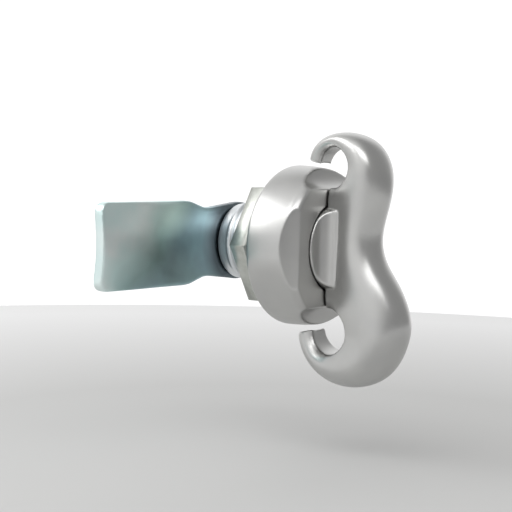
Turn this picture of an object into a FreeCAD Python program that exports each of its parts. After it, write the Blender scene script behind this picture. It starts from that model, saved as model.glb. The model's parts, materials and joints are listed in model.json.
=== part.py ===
"""Padlockable quarter-turn enclosure latch: cast housing with threaded barrel, wing handle with two
padlock hooks, steel spindle, rear fixings and a flat cam.

The latch axis is Y. The panel lies on the plane y = 0, the front of the latch points to -Y, the cam
to -X, and the wing handle stands along Z. Sizes are millimetres.
"""
import FreeCAD, Part
import math
import os
import Sketcher

doc = FreeCAD.newDocument("EnclosureLatch")
sheet = doc.addObject("Spreadsheet::Sheet", "Sizes")
Vector = FreeCAD.Vector

# Driving dimensions, one row each
SIZES = {
    # cast head in front of the panel
    "head_radius": 19.0,
    "head_depth": 12.2,
    "head_rear_round": 1.0,
    "head_brow_radius": 18.2,
    "head_brow_depth": 9.8,
    "head_side_bulge": 46.0,
    "head_front_radius": 16.9,
    "head_front_bulge": 2.4,
    "scallop_radius": 9.0,
    "scallop_centre_out": 21.4,
    "scallop_centre_ahead": 5.7,
    "shackle_groove_clearance": 0.4,
    "shackle_groove_outset": 0.5,
    "shackle_groove_lead": 0.5,
    "hub_recess_radius": 10.5,
    "hub_recess_depth": 7.2,
    # barrel through the panel
    "barrel_radius": 10.0,
    "barrel_length": 16.3,
    "pilot_radius": 9.2,
    "pilot_length": 3.0,
    "pilot_chamfer": 0.4,
    "bush_bore_radius": 6.5,
    "stop_pocket_radius": 8.0,
    "stop_pocket_depth": 5.7,
    "stop_shelf_width": 1.5,
    "stop_shelf_length": 2.4,
    "stop_shelf_setback": 0.6,
    # quarter turn
    "turn_angle": 90.0,
    "stop_tab_angle": 40.0,
    "stop_play_angle": 1.0,
    # gasket, washer and nut
    "gasket_radius": 14.8,
    "gasket_thickness": 1.5,
    "tooth_washer_radius": 14.4,
    "tooth_washer_thickness": 1.0,
    "tooth_depth": 1.8,
    "tooth_count": 30.0,
    "nut_across_flats": 27.0,
    "nut_thickness": 4.7,
    "nut_bevel": 0.9,
    "thread_play": 0.05,
    # running gear
    "spindle_radius": 5.0,
    "spindle_spigot_radius": 4.0,
    "spindle_spigot_length": 7.6,
    "square_across_flats": 7.0,
    "square_short": 0.25,
    "bush_play": 0.03,
    "seal_gap_length": 3.0,
    "front_bush_length": 6.6,
    "seal_groove_depth": 0.9,
    "thrust_washer_thickness": 0.7,
    "thrust_washer_inset": 0.9,
    "running_gap": 0.1,
    "cross_pin_radius": 1.5,
    "cross_pin_setback": 2.35,
    "cross_pin_inset": 0.5,
    "hub_seal_section": 0.9,
    "hub_seal_setforward": 1.35,
    "spring_thickness": 0.4,
    "spring_height": 0.7,
    "seat_washer_thickness": 0.5,
    "seat_washer_inset": 0.6,
    "clip_thickness": 1.0,
    "clip_groove_depth": 0.4,
    "clip_width": 1.6,
    "clip_opening": 5.0,
    "stop_disc_clearance": 0.3,
    "stop_disc_thickness": 3.5,
    "stop_tab_thickness": 2.4,
    # wing handle
    "hub_clearance": 0.3,
    "hub_rim_stand": 0.35,
    "hub_neck_length": 3.05,
    "cove_radius": 3.0,
    "cove_inset": 2.0,
    "seam_gap": 0.25,
    "foot_half_width": 4.0,
    "foot_half_height": 15.0,
    "foot_depth": 4.0,
    "hook_end_clearance": 0.4,
    "hook_end_flare": 1.6,
    "hook_end_length": 7.0,
    "upper_eye_radius": 4.75,
    "upper_eye_height": 18.8,
    "upper_eye_ahead": 1.3,
    "lower_eye_radius": 5.4,
    "lower_eye_height": 19.4,
    "lower_eye_ahead": 1.4,
    "upper_hook_depth": 7.5,
    "upper_hook_half": 5.8,
    "lower_hook_depth": 13.25,
    "lower_hook_half": 6.5,
    "wing_waist_depth": 11.7,
    "wing_waist_half": 5.2,
    # cam and its bolt
    "cam_thickness": 2.7,
    "cam_play": 0.05,
    "cam_head_radius": 9.5,
    "cam_neck_half": 8.1,
    "cam_neck_place": 12.6,
    "cam_shoulder_place": 18.8,
    "cam_blade_half": 10.0,
    "cam_reach": 49.0,
    "cam_corner_radius": 2.4,
    "cam_neck_round": 9.0,
    "cam_crown": 0.9,
    "bolt_radius": 3.0,
    "bolt_length": 16.0,
    "bolt_head_flats": 10.0,
    "bolt_head_height": 4.0,
    "bolt_head_bevel": 0.4,
    "bolt_washer_radius": 6.0,
    "bolt_washer_thickness": 1.6,
    "spring_washer_radius": 5.6,
    "spring_washer_thickness": 1.6,
    "spring_washer_gap": 0.8,
}
for row, (alias, number) in enumerate(SIZES.items(), start=1):
    sheet.set("A%d" % row, alias)
    sheet.set("B%d" % row, str(number))
    sheet.setAlias("B%d" % row, alias)
doc.recompute()


class Size:
    """A number that also knows the sheet expression it comes from."""

    def __init__(self, value, text):
        self.value = float(value)
        self.text = text

    def __add__(self, other):
        other = as_size(other)
        return Size(self.value + other.value, "(%s + %s)" % (self.text, other.text))

    def __sub__(self, other):
        other = as_size(other)
        return Size(self.value - other.value, "(%s - %s)" % (self.text, other.text))

    def __mul__(self, factor):
        factor = as_size(factor)
        return Size(self.value * factor.value, "(%s * %s)" % (self.text, factor.text))

    def __neg__(self):
        return Size(-self.value, "(0 - %s)" % self.text)


def as_size(number):
    if isinstance(number, Size):
        return number
    return Size(number, repr(float(number)))


def cell(alias):
    return Size(getattr(sheet, alias), "Sizes.%s" % alias)


ZERO = as_size(0.0)
FULL_TURN = as_size(360.0)
HALF = 0.5
TAN30 = math.tan(math.radians(30))
FUSE_DEPTH = 0.5  # how far a piece is sunk into the casting that it is part of
CUT_SPARE = 2.0  # how far a cutting solid runs past what it cuts
SAME_PLACE = 0.001  # how close two points are when they count as one
BELLY_SHARE = 0.62  # where along its depth a section of the wing is widest
SIDE_SHARES = (0.33, 0.66)  # where the side of a wing section has points, over the belly's place
NOSE_ANGLES = (22.5, 45.0, 67.5)  # where its nose has points, in degrees from the belly
NOSE_POWER = 0.94  # 1 is an elliptical nose, less is squarer
EYE_INSET = 0.45  # how far a section starts inside the eye, over the eye's radius
CROWN_AT_SHOULDER = 0.15  # how much of the cam's crown is reached at its shoulder
CROWN_AT_MIDDLE = 0.8  # and half way along its blade
CROWN_STEPS = 4  # points each side of the middle in a section of the crowned strip


def bind(thing, path, size):
    thing.setExpression(path, as_size(size).text)


# Sketches and the features made from them

def new_body(label):
    body = doc.addObject("PartDesign::Body", label)
    body.Label = label
    return body


def plane_of(body, role):
    return [feature for feature in body.Origin.OriginFeatures if feature.Role == role][0]


def new_sketch(body, name, role, height=ZERO):
    """An empty sketch on an origin plane, or that far along +Y in front of the XZ plane."""
    sketch = body.newObject("Sketcher::SketchObject", name)
    sketch.AttachmentSupport = [(plane_of(body, role), "")]
    sketch.MapMode = "FlatFace"
    if role == "XZ_Plane":
        sketch.AttachmentOffset = FreeCAD.Placement(Vector(0, 0, -height.value), FreeCAD.Rotation())
        bind(sketch, "AttachmentOffset.Base.z", -height)
    return sketch


def fix_point(sketch, index, end, x, y):
    """Ties one end of one line or arc to its place, measured from the sketch's origin."""
    for kind, axis, size in (("DistanceX", -2, as_size(x)), ("DistanceY", -1, as_size(y))):
        if size is ZERO or size.text == ZERO.text:
            sketch.addConstraint(Sketcher.Constraint("PointOnObject", index, end, axis))
        else:
            number = sketch.addConstraint(Sketcher.Constraint(kind, -1, 1, index, end, size.value))
            bind(sketch, "Constraints[%d]" % number, size)


def arc_between(first, last, radius, left):
    """Arc from first to last with its centre on the left or right of that line."""
    along = last - first
    middle = (first + last) * HALF
    rise = math.sqrt(radius ** 2 - along.Length ** 2 / 4)
    side = Vector(-along.y, along.x, 0).normalize() * rise
    centre = middle + side if left else middle - side
    begin, finish = (first, last) if left else (last, first)
    angles = [math.atan2(point.y - centre.y, point.x - centre.x) for point in (begin, finish)]
    return Part.ArcOfCircle(Part.Circle(centre, Vector(0, 0, 1), radius), angles[0], angles[1])


def draw_outline(sketch, corners, arcs=None):
    """A closed outline through the corners. arcs gives the radius and side of a curved edge."""
    arcs = arcs or {}
    corners = [(as_size(x), as_size(y)) for x, y in corners]
    points = [Vector(x.value, y.value, 0) for x, y in corners]
    ends = []
    for number, first in enumerate(points):
        last = points[(number + 1) % len(points)]
        if number in arcs:
            radius, left = arcs[number]
            index = sketch.addGeometry(arc_between(first, last, radius.value, left), False)
            ends.append((index, 1, 2) if left else (index, 2, 1))
        else:
            index = sketch.addGeometry(Part.LineSegment(first, last), False)
            ends.append((index, 1, 2))
    for number, (index, begin, finish) in enumerate(ends):
        following = ends[(number + 1) % len(ends)]
        sketch.addConstraint(Sketcher.Constraint("Coincident", index, finish, following[0], following[1]))
        fix_point(sketch, index, begin, *corners[number])
        if number in arcs:
            held = sketch.addConstraint(Sketcher.Constraint("Radius", index, arcs[number][0].value))
            bind(sketch, "Constraints[%d]" % held, arcs[number][0])


def draw_circle(sketch, radius, x=ZERO, y=ZERO):
    centre = Vector(as_size(x).value, as_size(y).value, 0)
    index = sketch.addGeometry(Part.Circle(centre, Vector(0, 0, 1), as_size(radius).value), False)
    fix_point(sketch, index, 3, x, y)
    held = sketch.addConstraint(Sketcher.Constraint("Radius", index, as_size(radius).value))
    bind(sketch, "Constraints[%d]" % held, radius)


def draw_hexagon(sketch, across_flats):
    """Hexagon with two corners on the X axis."""
    flat = across_flats * HALF
    short = flat * TAN30
    draw_outline(sketch, [(short * 2, ZERO), (short, flat), (-short, flat),
                          (short * -2, ZERO), (-short, -flat), (short, -flat)])


def turned(label, corners, arcs=None):
    """A turned piece: radius and place along Y for each corner of half its section."""
    body = new_body(label)
    sketch = new_sketch(body, label + "_section", "XY_Plane")
    draw_outline(sketch, corners, arcs)
    turn = body.newObject("PartDesign::Revolution", label + "_turn")
    turn.Profile = (sketch, [""])
    turn.ReferenceAxis = (sketch, ["V_Axis"])
    turn.Angle = FULL_TURN.value
    return body


def ring(label, inner, outer, front, thickness):
    rear = front + thickness
    return turned(label, [(inner, front), (outer, front), (outer, rear), (inner, rear)])


def seal_ring(label, inner, outer, middle):
    """An O-ring that fills the space between two radii."""
    body = new_body(label)
    sketch = new_sketch(body, label + "_section", "XY_Plane")
    draw_circle(sketch, (outer - inner) * HALF, (outer + inner) * HALF, middle)
    turn = body.newObject("PartDesign::Revolution", label + "_turn")
    turn.Profile = (sketch, [""])
    turn.ReferenceAxis = (sketch, ["V_Axis"])
    turn.Angle = FULL_TURN.value
    return body


def pad(body, sketch, length):
    """Pads a sketch on the XZ plane towards +Y."""
    feature = body.newObject("PartDesign::Pad", sketch.Name + "_pad")
    feature.Profile = (sketch, [""])
    feature.Reversed = True
    bind(feature, "Length", length)
    return feature


def pocket(body, sketch, length):
    """Cuts a sketch on the XZ plane towards +Y."""
    feature = body.newObject("PartDesign::Pocket", sketch.Name + "_pocket")
    feature.Profile = (sketch, [""])
    feature.Reversed = False
    bind(feature, "Length", length)
    return feature


# Solids for booleans

ALONG_X = FreeCAD.Rotation(Vector(0, 1, 0), 90)
ALONG_Y = FreeCAD.Rotation(Vector(1, 0, 0), -90)
ALONG_Z = FreeCAD.Rotation()


def place(thing, rotation, x, y, z):
    x, y, z = as_size(x), as_size(y), as_size(z)
    thing.Placement = FreeCAD.Placement(Vector(x.value, y.value, z.value), rotation)
    for path, size in (("x", x), ("y", y), ("z", z)):
        bind(thing, "Placement.Base." + path, size)
    return thing


def rod(name, radius, length, rotation, x, y, z):
    """A cylinder from the given point along one axis."""
    thing = doc.addObject("Part::Cylinder", name)
    bind(thing, "Radius", radius)
    bind(thing, "Height", length)
    return place(thing, rotation, x, y, z)


def block(name, size_x, size_y, size_z, x, y, z):
    """A box from its lowest corner."""
    thing = doc.addObject("Part::Box", name)
    bind(thing, "Length", size_x)
    bind(thing, "Width", size_y)
    bind(thing, "Height", size_z)
    return place(thing, ALONG_Z, x, y, z)


def fuse(name, shapes):
    thing = doc.addObject("Part::MultiFuse", name)
    thing.Shapes = shapes
    thing.Refine = True
    return thing


def cut(name, base, tools):
    """Cuts the tools from the base; several tools are joined first."""
    tool = tools[0] if len(tools) == 1 else fuse(name + "_tools", tools)
    thing = doc.addObject("Part::Cut", name)
    thing.Base = base
    thing.Tool = tool
    thing.Refine = True
    return thing


parts = []


def keep(thing, label):
    """Marks a finished sub-part and gives it the label that names its file."""
    thing.Label = label
    parts.append(thing)
    return thing


# Places along the latch axis, worked out from the sizes
front_face = -cell("head_depth")
recess_floor = front_face + cell("hub_recess_depth")
hub_back = recess_floor - cell("thrust_washer_thickness") - cell("running_gap")
seam = front_face - cell("seam_gap")
front_bush_rear = recess_floor + cell("front_bush_length")
rear_bush_front = front_bush_rear + cell("seal_gap_length")
pocket_floor = cell("barrel_length") - cell("stop_pocket_depth")
spring_rear = pocket_floor + cell("spring_height")
seat_rear = spring_rear + cell("seat_washer_thickness")
clip_front = seat_rear + cell("running_gap")
clip_rear = clip_front + cell("clip_thickness")
shoulder = clip_rear + cell("running_gap")
stop_disc_rear = shoulder + cell("stop_disc_thickness")
cam_front = stop_disc_rear + cell("cam_play")
cam_rear = cam_front + cell("cam_thickness")
bolt_seat = cam_rear + cell("bolt_washer_thickness")
bolt_head_front = bolt_seat + cell("spring_washer_thickness")
shackle_line = front_face - cell("upper_eye_ahead") - cell("shackle_groove_lead")

# Radii that follow from their neighbours
hub_radius = cell("hub_recess_radius") - cell("hub_clearance")
stop_disc_radius = cell("stop_pocket_radius") - cell("stop_shelf_width") - cell("stop_disc_clearance")
stop_tab_radius = cell("stop_pocket_radius") - cell("stop_disc_clearance")
hook_end_radius = cell("head_radius") + cell("hook_end_clearance")


# Housing: head and barrel in one casting
def make_housing():
    head_radius = cell("head_radius")
    rear_round = cell("head_rear_round")
    brow = front_face + (cell("head_depth") - cell("head_brow_depth"))
    pilot_front = cell("barrel_length") - cell("pilot_length")
    step = cell("barrel_radius") - cell("pilot_radius")
    chamfer = cell("pilot_chamfer")
    corners = [
        (cell("barrel_radius"), ZERO),
        (head_radius - rear_round, ZERO),
        (head_radius, -rear_round),
        (cell("head_brow_radius"), brow),
        (cell("head_front_radius"), front_face),
        (cell("hub_recess_radius"), front_face),
        (cell("hub_recess_radius"), recess_floor),
        (cell("bush_bore_radius"), recess_floor),
        (cell("bush_bore_radius"), pocket_floor),
        (cell("stop_pocket_radius"), pocket_floor),
        (cell("stop_pocket_radius"), cell("barrel_length")),
        (cell("pilot_radius") - chamfer, cell("barrel_length")),
        (cell("pilot_radius"), cell("barrel_length") - chamfer),
        (cell("pilot_radius"), pilot_front),
        (cell("barrel_radius"), pilot_front - step),
    ]
    arcs = {
        1: (rear_round, False),
        2: (cell("head_side_bulge"), False),
        3: (cell("head_front_bulge"), False),
    }
    casting = turned("housing_casting", corners, arcs)

    shelf_front = cell("barrel_length") - cell("stop_shelf_setback") - cell("stop_shelf_length")
    shelf_angle = FULL_TURN - cell("turn_angle") - cell("stop_tab_angle") - cell("stop_play_angle") * 2
    shelf = rod("stop_shelf_outer", cell("stop_pocket_radius") + FUSE_DEPTH, cell("stop_shelf_length"),
                ALONG_Y, ZERO, shelf_front, ZERO)
    bind(shelf, "Angle", shelf_angle)
    begin = 90.0 - (cell("stop_tab_angle") * HALF + cell("stop_play_angle")).value
    shelf.Placement = FreeCAD.Placement(shelf.Placement.Base,
                                        ALONG_Y.multiply(FreeCAD.Rotation(Vector(0, 0, 1), -begin)))
    shelf_bore = rod("stop_shelf_bore", cell("stop_pocket_radius") - cell("stop_shelf_width"),
                     cell("stop_shelf_length") + CUT_SPARE, ALONG_Y,
                     ZERO, shelf_front - CUT_SPARE * HALF, ZERO)
    shelf_ring = cut("stop_shelf_ring", shelf, [shelf_bore])
    whole = fuse("housing_whole", [casting, shelf_ring])

    tools = []
    span = head_radius * 2 + CUT_SPARE
    for side, name in ((1, "right"), (-1, "left")):
        out = cell("scallop_centre_out") * side
        tools.append(rod("scallop_" + name, cell("scallop_radius"), span, ALONG_Z,
                         out, front_face - cell("scallop_centre_ahead"), -span * HALF))
    for side, name in ((1, "top"), (-1, "bottom")):
        height = (cell("upper_eye_height") + cell("shackle_groove_outset")) * side
        groove_radius = cell("lower_eye_radius") + cell("shackle_groove_clearance")
        tools.append(rod("shackle_groove_" + name, groove_radius, span, ALONG_X,
                         -span * HALF, shackle_line, height))
    keep(cut("housing", whole, tools), "housing")


# Gasket, toothed washer and nut that clamp the panel
def make_clamp_stack():
    bore = cell("barrel_radius") + cell("thread_play")
    keep(ring("flange_gasket", bore, cell("gasket_radius"), ZERO, cell("gasket_thickness")), "flange_gasket")

    washer_front = cell("gasket_thickness")
    washer_rear = washer_front + cell("tooth_washer_thickness")
    body = new_body("toothed_washer")
    sketch = new_sketch(body, "toothed_washer_outline", "XZ_Plane", washer_front)
    draw_circle(sketch, cell("tooth_washer_radius"))
    draw_circle(sketch, bore)
    pad(body, sketch, cell("tooth_washer_thickness"))
    doc.recompute()
    gap_half = cell("tooth_depth") * HALF * HALF
    root = cell("tooth_washer_radius") - cell("tooth_depth")
    tip = cell("tooth_washer_radius") + CUT_SPARE * HALF
    notch = new_sketch(body, "tooth_notch", "XZ_Plane", washer_front)
    draw_outline(notch, [(root, -gap_half), (tip, gap_half * -2), (tip, gap_half * 2), (root, gap_half)])
    slot = pocket(body, notch, cell("tooth_washer_thickness"))
    pattern = body.newObject("PartDesign::PolarPattern", "tooth_pattern")
    pattern.Originals = [slot]
    pattern.Axis = (notch, ["N_Axis"])
    pattern.Angle = FULL_TURN.value
    bind(pattern, "Occurrences", cell("tooth_count"))
    body.Tip = pattern
    keep(body, "toothed_washer")

    nut_front = washer_rear + cell("running_gap")
    bevel = cell("nut_bevel")
    body = new_body("hex_nut")
    sketch = new_sketch(body, "hex_nut_outline", "XZ_Plane", nut_front)
    draw_hexagon(sketch, cell("nut_across_flats"))
    draw_circle(sketch, bore)
    nut_pad = pad(body, sketch, cell("nut_thickness"))
    doc.recompute()
    rim = rim_edges(nut_pad.Shape, nut_front.value)
    chamfer = body.newObject("PartDesign::Chamfer", "hex_nut_bevel")
    chamfer.Base = (nut_pad, rim)
    bind(chamfer, "Size", bevel)
    keep(body, "hex_nut")


def rim_edges(shape, y):
    """Names of the straight edges that lie on the plane at y."""
    names = []
    for number, edge in enumerate(shape.Edges, start=1):
        on_plane = all(abs(vertex.Point.y - y) < SAME_PLACE for vertex in edge.Vertexes)
        if on_plane and isinstance(edge.Curve, Part.Line):
            names.append("Edge%d" % number)
    return names


# Spindle with its pin, bushes, seals and washers
def make_spindle():
    spigot_front = hub_back - cell("spindle_spigot_length")
    radius = cell("spindle_radius")
    groove = radius - cell("seal_groove_depth")
    clip_root = radius - cell("clip_groove_depth")
    square_rear = cam_rear - cell("square_short")
    bolt_hole_depth = cell("bolt_length") + cell("bolt_radius")
    bolt_hole_floor = bolt_head_front - bolt_hole_depth
    corners = [
        (ZERO, spigot_front), (cell("spindle_spigot_radius"), spigot_front),
        (cell("spindle_spigot_radius"), hub_back), (radius, hub_back),
        (radius, front_bush_rear), (groove, front_bush_rear),
        (groove, rear_bush_front), (radius, rear_bush_front),
        (radius, clip_front), (clip_root, clip_front),
        (clip_root, clip_rear), (radius, clip_rear),
        (radius, shoulder), (ZERO, shoulder),
    ]
    body = turned("spindle_turning", corners)
    square = new_sketch(body, "spindle_square", "XZ_Plane", shoulder)
    flat = cell("square_across_flats") * HALF
    draw_outline(square, [(flat, flat), (-flat, flat), (-flat, -flat), (flat, -flat)])
    pad(body, square, square_rear - shoulder)
    bolt_hole = rod("bolt_hole", cell("bolt_radius") + cell("bush_play"), bolt_hole_depth,
                    ALONG_Y, ZERO, bolt_hole_floor, ZERO)
    pin_hole = pin_rod("spindle_pin_hole", cell("bush_play"))
    keep(cut("spindle", body, [bolt_hole, pin_hole]), "spindle")

    keep(pin_rod("spindle_pin", ZERO), "spindle_pin")

    bush_bore = radius + cell("bush_play")
    housing_bore = cell("bush_bore_radius")
    rear_bush_length = pocket_floor - rear_bush_front
    keep(ring("front_bush", bush_bore, housing_bore, recess_floor, cell("front_bush_length")), "front_bush")
    keep(ring("rear_bush", bush_bore, housing_bore, rear_bush_front, rear_bush_length), "rear_bush")
    thrust_outer = cell("hub_recess_radius") - cell("thrust_washer_inset")
    thrust_thickness = cell("thrust_washer_thickness")
    keep(ring("thrust_washer", bush_bore + cell("running_gap"), thrust_outer,
              recess_floor - thrust_thickness, thrust_thickness), "thrust_washer")
    seal_middle = (front_bush_rear + rear_bush_front) * HALF
    keep(seal_ring("spindle_o_ring", groove, housing_bore - cell("bush_play"), seal_middle),
         "spindle_o_ring")
    hub_seal_middle = hub_back - cell("hub_seal_setforward")
    seal_outer = cell("hub_recess_radius") - cell("bush_play")
    keep(seal_ring("hub_o_ring", seal_outer - cell("hub_seal_section") * 2, seal_outer, hub_seal_middle),
         "hub_o_ring")

    thickness = cell("spring_thickness")
    inner = bush_bore + cell("running_gap")
    outer = cell("stop_pocket_radius") - cell("seat_washer_inset")
    keep(turned("disc_spring", [(inner, pocket_floor + cell("spring_height") - thickness),
                                (outer, pocket_floor), (outer, pocket_floor + thickness),
                                (inner, pocket_floor + cell("spring_height"))]), "disc_spring")
    keep(ring("seat_washer", inner, outer, spring_rear, cell("seat_washer_thickness")), "seat_washer")


def pin_rod(name, play):
    """The cross pin through hub and spigot, or its hole when play is added to its radius."""
    length = (hub_radius - cell("cross_pin_inset")) * 2
    place_y = front_face + cell("cross_pin_setback")
    return rod(name, cell("cross_pin_radius") + play, length, ALONG_X, -length * HALF, place_y, ZERO)


# Retaining clip and stop disc inside the barrel's end
def make_stops():
    inner = cell("spindle_radius") - cell("clip_groove_depth") + cell("bush_play")
    outer = inner + cell("clip_width")
    clip_ring = ring("clip_ring", inner, outer, clip_front, cell("clip_thickness"))
    opening = block("clip_gap", cell("clip_opening"), cell("clip_thickness") + CUT_SPARE, outer + CUT_SPARE,
                    cell("clip_opening") * -HALF, clip_front - CUT_SPARE * HALF, ZERO)
    keep(cut("retaining_clip", clip_ring, [opening]), "retaining_clip")

    disc = rod("stop_disc_plate", stop_disc_radius, cell("stop_disc_thickness"),
               ALONG_Y, ZERO, shoulder, ZERO)
    tab = rod("stop_disc_tab", stop_tab_radius, cell("stop_tab_thickness"),
              ALONG_Y, ZERO, shoulder, ZERO)
    bind(tab, "Angle", cell("stop_tab_angle"))
    begin = 90.0 + (cell("stop_tab_angle") * HALF).value
    tab.Placement = FreeCAD.Placement(tab.Placement.Base,
                                      ALONG_Y.multiply(FreeCAD.Rotation(Vector(0, 0, 1), -begin)))
    whole = fuse("stop_disc_whole", [disc, tab])
    keep(cut("stop_disc", whole, [square_tool("stop_disc_square", shoulder, cell("stop_disc_thickness"))]),
         "stop_disc")


def square_tool(name, front, length):
    """The square hole that fits the spindle's square with play all round."""
    wide = cell("square_across_flats") + cell("cam_play") * 2
    return block(name, wide, length + CUT_SPARE, wide, wide * -HALF, front - CUT_SPARE * HALF, wide * -HALF)


# Wing handle: a lofted grip with two hooks, a foot, a hub and two finger coves
class Station:
    """One cross-section of the wing: where its wall starts, which way it faces and how deep it is."""

    def __init__(self, y, z, toward_y, toward_z, depth, wall_half, belly_half):
        self.start = Vector(0, y, z)
        self.toward = Vector(0, toward_y, toward_z)
        self.depth = depth
        self.wall_half = wall_half
        self.belly_half = belly_half

    def wire(self):
        """Flat wall towards the eye, bulging sides and a round nose away from it."""
        belly = self.depth * BELLY_SHARE
        nose = self.depth - belly
        side = []
        for share in SIDE_SHARES:
            grown = math.sin(share * math.pi / 2)
            side.append((belly * share, self.wall_half + (self.belly_half - self.wall_half) * grown))
        side.append((belly, self.belly_half))
        for angle in NOSE_ANGLES:
            turn = math.radians(angle)
            side.append((belly + nose * math.sin(turn) ** NOSE_POWER,
                         self.belly_half * math.cos(turn) ** NOSE_POWER))
        outline = [(0.0, self.wall_half)] + side + [(self.depth, 0.0)]
        outline += [(out, -half) for out, half in reversed(side)] + [(0.0, -self.wall_half)]
        points = [self.start + self.toward * out + Vector(half, 0, 0) for out, half in outline]
        skin = Part.BSplineCurve()
        skin.interpolate(points)
        wall = Part.LineSegment(points[-1], points[0])
        return Part.Wire([skin.toShape(), wall.toShape()])


def hook_stations(eye_y, eye_z, eye_radius, outward, hook_depth, hook_half, rows):
    """Stations fanned round an eye. outward is 1 for the upper hook and -1 for the lower one."""
    inset = eye_radius.value * EYE_INSET
    reach = eye_radius.value - inset
    stations = []
    for degrees, depth, wall_half, belly_half in rows:
        angle = math.radians(degrees)
        toward_y = math.cos(angle)
        toward_z = math.sin(angle) * outward
        stations.append(Station(eye_y.value + reach * toward_y, eye_z.value + reach * toward_z,
                                toward_y, toward_z, depth * hook_depth.value + inset,
                                wall_half * hook_half.value, belly_half * hook_half.value))
    return stations


def hook_clearance():
    """The flared space turned out between the head and the ends of the hooks."""
    front = front_face + cell("upper_eye_radius") * HALF
    length = cell("hook_end_length")
    flare = doc.addObject("Part::Cone", "hook_flare")
    bind(flare, "Radius1", hook_end_radius)
    bind(flare, "Radius2", hook_end_radius + cell("hook_end_flare"))
    bind(flare, "Height", length)
    place(flare, ALONG_Y, ZERO, front, ZERO)
    core = rod("hook_flare_core", cell("foot_half_height"), length + CUT_SPARE, ALONG_Y,
               ZERO, front - CUT_SPARE * HALF, ZERO)
    return cut("hook_clearance", flare, [core])


def seam_clearance():
    """The ring behind the foot that keeps it off the head's front face."""
    outer = rod("seam_ring", cell("foot_half_height") + CUT_SPARE, cell("foot_depth"), ALONG_Y,
                ZERO, seam, ZERO)
    core = rod("seam_ring_core", hub_radius, cell("foot_depth") + CUT_SPARE, ALONG_Y,
               ZERO, seam - CUT_SPARE * HALF, ZERO)
    return cut("seam_clearance", outer, [core])


def make_wing():
    upper_eye_y = front_face - cell("upper_eye_ahead")
    lower_eye_y = front_face - cell("lower_eye_ahead")

    # angle round the eye, then shares of the hook's depth and of its half width at wall and belly
    upper_rows = ((-15, 0.53, 0.431, 0.5), (20, 0.53, 0.448, 0.534), (50, 0.477, 0.5, 0.621),
                  (90, 0.456, 0.586, 0.759), (120, 0.572, 0.655, 0.862), (150, 0.789, 0.707, 0.948),
                  (180, 1, 0.724, 1))
    lower_rows = ((-12, 0.354, 0.462, 0.538), (20, 0.377, 0.477, 0.6), (50, 0.393, 0.538, 0.708),
                  (90, 0.515, 0.631, 0.846), (120, 0.687, 0.677, 0.938), (150, 0.873, 0.692, 0.985),
                  (180, 1, 0.692, 1))
    # shares of the foot's half height, and of the waist's depth and half width
    middle_rows = ((-0.867, 1.655, 1.231), (-0.533, 1.429, 1.154), (-0.2, 1.126, 1.058),
                   (0.133, 1, 1), (0.533, 1.084, 1.019), (0.867, 1.185, 1.077))
    lower = hook_stations(lower_eye_y, -cell("lower_eye_height"), cell("lower_eye_radius"), -1,
                          cell("lower_hook_depth"), cell("lower_hook_half"), lower_rows)
    upper = hook_stations(upper_eye_y, cell("upper_eye_height"), cell("upper_eye_radius"), 1,
                          cell("upper_hook_depth"), cell("upper_hook_half"), upper_rows)
    waist = cell("wing_waist_depth").value
    waist_half = cell("wing_waist_half").value
    foot_half = cell("foot_half_width").value
    foot_height = cell("foot_half_height").value
    middle = [Station(seam.value, height * foot_height, -1, 0, waist * depth, foot_half, belly * waist_half)
              for height, depth, belly in middle_rows]
    stations = lower + middle + upper[::-1]

    wires = []
    for number, station in enumerate(stations, start=1):
        wire = doc.addObject("Part::Feature", "wing_section_%02d" % number)
        wire.Shape = station.wire()
        wires.append(wire)
    grip = doc.addObject("Part::Loft", "wing_grip")
    grip.Sections = wires
    grip.Solid = True
    grip.Ruled = False

    hub_front = front_face - cell("hub_rim_stand") - cell("hub_neck_length")
    hub = rod("wing_hub", hub_radius, hub_back - hub_front, ALONG_Y, ZERO, hub_front, ZERO)
    foot = block("wing_foot", cell("foot_half_width") * 2, cell("foot_depth"), cell("foot_half_height") * 2,
                 -cell("foot_half_width"), seam - cell("foot_depth"), -cell("foot_half_height"))
    whole = fuse("wing_whole", [grip, hub, foot])

    wide = cell("head_radius") * 2
    tools = [
        rod("upper_eye", cell("upper_eye_radius"), wide, ALONG_X, -wide * HALF, upper_eye_y,
            cell("upper_eye_height")),
        rod("lower_eye", cell("lower_eye_radius"), wide, ALONG_X, -wide * HALF, lower_eye_y,
            -cell("lower_eye_height")),
        pin_rod("hub_pin_hole", cell("bush_play")),
    ]
    for side, name in ((1, "right"), (-1, "left")):
        out = (hub_radius - cell("cove_inset")) * side
        cove_y = front_face - cell("hub_rim_stand") - cell("cove_radius")
        tools.append(rod("cove_" + name, cell("cove_radius"), wide, ALONG_Z, out, cove_y, -wide * HALF))
        low = out if side > 0 else out - hub_radius
        tools.append(block("rim_face_" + name, hub_radius, cell("cove_radius") + CUT_SPARE, wide,
                           low, cove_y - CUT_SPARE, -wide * HALF))
    tools.append(hook_clearance())
    tools.append(seam_clearance())
    spigot = rod("hub_spigot_bore", cell("spindle_spigot_radius") + cell("bush_play"),
                 cell("spindle_spigot_length") + cell("running_gap") + CUT_SPARE,
                 ALONG_Y, ZERO, hub_back - cell("spindle_spigot_length") - cell("running_gap"), ZERO)
    tools.append(spigot)
    seal_radius = cell("hub_seal_section")
    groove = turned("hub_seal_groove", [
        (cell("hub_recess_radius") - seal_radius * 2 - cell("bush_play") * 2,
         hub_back - cell("hub_seal_setforward") - seal_radius),
        (cell("hub_recess_radius") + CUT_SPARE, hub_back - cell("hub_seal_setforward") - seal_radius),
        (cell("hub_recess_radius") + CUT_SPARE, hub_back - cell("hub_seal_setforward") + seal_radius),
        (cell("hub_recess_radius") - seal_radius * 2 - cell("bush_play") * 2,
         hub_back - cell("hub_seal_setforward") + seal_radius)])
    tools.append(groove)
    keep(cut("wing_handle", whole, tools), "wing_handle")


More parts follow.
